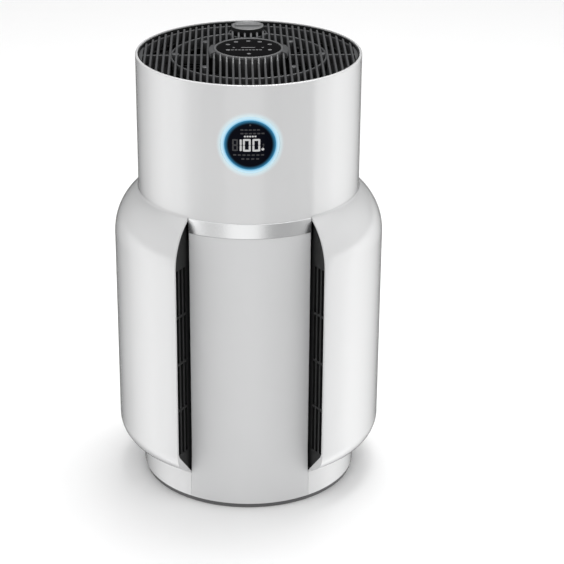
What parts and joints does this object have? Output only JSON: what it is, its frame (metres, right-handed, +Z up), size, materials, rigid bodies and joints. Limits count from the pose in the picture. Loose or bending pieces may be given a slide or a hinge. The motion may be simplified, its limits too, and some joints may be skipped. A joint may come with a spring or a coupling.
{
  "type": "air purifier",
  "caption": "Free-standing cylindrical air purifier with bulged side covers, front and rear columns, slatted top outlet, round display and touch panel.",
  "frame": {"origin": "middle of the footprint, on the floor", "axes": "+Z up along the tower's axis, -Y out of the front, +X to the right as seen from the front"},
  "size_m": [0.318, 0.2682, 0.535],
  "materials": {
    "shell_white": "gloss",
    "panel_white": "satin",
    "band_metal": "satin",
    "grille_grey": "satin",
    "hub_grey": "satin",
    "panel_black": "gloss",
    "light_ring": "satin",
    "dark_plastic": "matte",
    "machine_grey": "matte",
    "foot_rubber": "matte",
    "black_rubber": "matte",
    "filter_paper": "matte",
    "carbon_cloth": "matte",
    "screen_cloth": "matte",
    "webbing": "matte",
    "impeller_plastic": "satin",
    "motor_metal": "satin",
    "steel": "satin",
    "brass": "satin",
    "circuit_board": "satin",
    "cartridge_teal": "satin"
  },
  "bodies": {
    "housing": {"foot_ring": "foot_rubber", "base_frame": "shell_white", "inner_frame": "dark_plastic", "front_panel": "panel_white", "rear_panel": "panel_white", "accent_band": "band_metal", "upper_shell": "shell_white", "outlet_grille": "grille_grey", "control_hub": "hub_grey", "control_panel": "panel_black", "control_board": "circuit_board", "display_lens": "panel_black", "display_ring": "light_ring", "display_housing": "machine_grey", "display_board": "circuit_board", "handle_pocket": "panel_white", "fan_duct": "machine_grey", "inlet_bellmouth": "machine_grey", "guide_vanes": "machine_grey", "motor_mount": "machine_grey", "motor": "motor_metal", "motor_bearings": "steel", "motor_dampers": "black_rubber", "filter_media": "filter_paper", "filter_top_cap": "machine_grey", "filter_bottom_cap": "machine_grey", "filter_seal": "black_rubber", "filter_pull_tab": "webbing", "carbon_sleeve": "carbon_cloth", "cover_strikes": "steel", "odour_cup": "machine_grey", "power_board": "circuit_board", "particle_sensor": "dark_plastic", "power_inlet": "dark_plastic", "inlet_pins": "brass", "mains_wires": "black_rubber", "grille_screws": "steel", "base_screws": "steel", "motor_screws": "steel"},
    "rotor": {"impeller": "impeller_plastic", "motor_shaft": "steel", "shaft_clip": "steel"},
    "cover_right": {"side_cover_right": "shell_white", "intake_grille_front_right": "dark_plastic", "intake_grille_rear_right": "dark_plastic", "screen_frame_right": "dark_plastic", "screen_mesh_right": "screen_cloth", "cover_magnets_right": "steel"},
    "cover_left": {"side_cover_left": "shell_white", "intake_grille_front_left": "dark_plastic", "intake_grille_rear_left": "dark_plastic", "screen_frame_left": "dark_plastic", "screen_mesh_left": "screen_cloth", "cover_magnets_left": "steel"},
    "door": {"filter_door": "panel_white"},
    "odour_pod": {"odour_cartridge": "cartridge_teal"},
    "dial": {"odour_dial": "hub_grey"}
  },
  "joints": [
    {"name": "impeller_spin", "type": "hinge", "parent": "housing", "child": "rotor", "pos_m": [0, 0, 0.374], "axis": [0, 0, 1], "continuous": true},
    {"name": "cover_right_pull", "type": "slide", "parent": "housing", "child": "cover_right", "axis": [1, 0, 0], "range_m": [0, 0.07]},
    {"name": "cover_left_pull", "type": "slide", "parent": "housing", "child": "cover_left", "axis": [-1, 0, 0], "range_m": [0, 0.07]},
    {"name": "filter_door_turn", "type": "hinge", "parent": "housing", "child": "door", "pos_m": [0, 0, 0.0045], "axis": [0, 0, -1], "range_deg": [0, 20]},
    {"name": "odour_pod_lift", "type": "slide", "parent": "housing", "child": "odour_pod", "axis": [0, 0, 1], "range_m": [0, 0.045]},
    {"name": "odour_dial_turn", "type": "hinge", "parent": "odour_pod", "child": "dial", "pos_m": [0, 0.091, 0.523], "axis": [0, 0, 1], "range_deg": [0, 120]}
  ]
}
